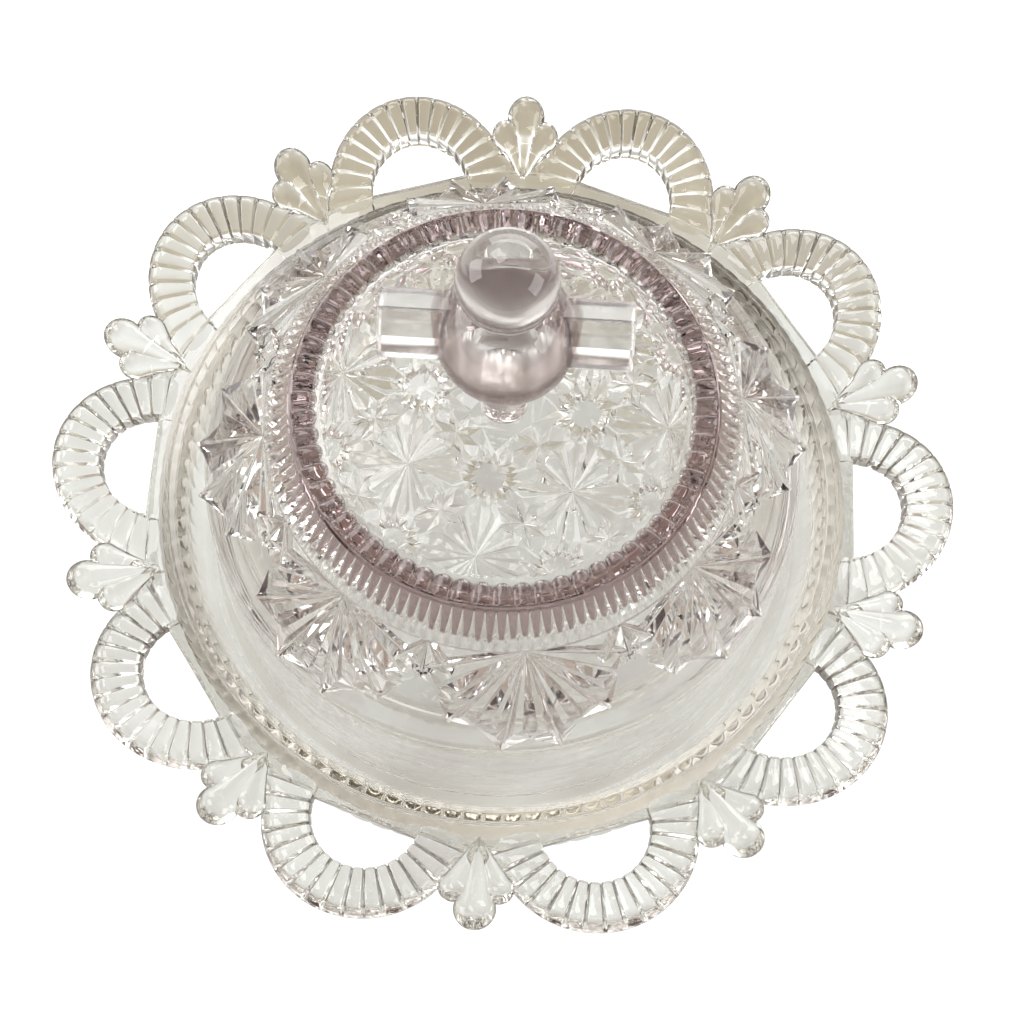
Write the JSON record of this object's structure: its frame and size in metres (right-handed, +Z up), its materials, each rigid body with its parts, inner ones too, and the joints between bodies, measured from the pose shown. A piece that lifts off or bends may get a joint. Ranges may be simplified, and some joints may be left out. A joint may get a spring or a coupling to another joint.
{
  "type": "covered butter dish",
  "caption": "Round pressed-glass butter dish with a pierced border of loops and palmettes, and a hollow lift-off cover with fan-cut shoulder, ribbed crown and knob finial.",
  "frame": {"origin": "centre of the dish's foot, on the surface that it stands on", "axes": "+Z up through the finial; +X along the finial's cross bar and through the middle of one border loop; -Y through a palmette of the border"},
  "size_m": [0.206, 0.2, 0.1456],
  "materials": {
    "dish_glass": "clear pressed glass with a faint grey-green cast, fire-polished",
    "cover_glass": "clear pressed glass with a faint amethyst tint where it is thick, fire-polished"
  },
  "bodies": {
    "dish": {"dish": "dish_glass"},
    "cover": {"cover": "cover_glass"}
  },
  "joints": [
    {"name": "cover_lift", "type": "slide", "parent": "dish", "child": "cover", "axis": [0, 0, 1], "range_m": [0, 0.12]}
  ]
}
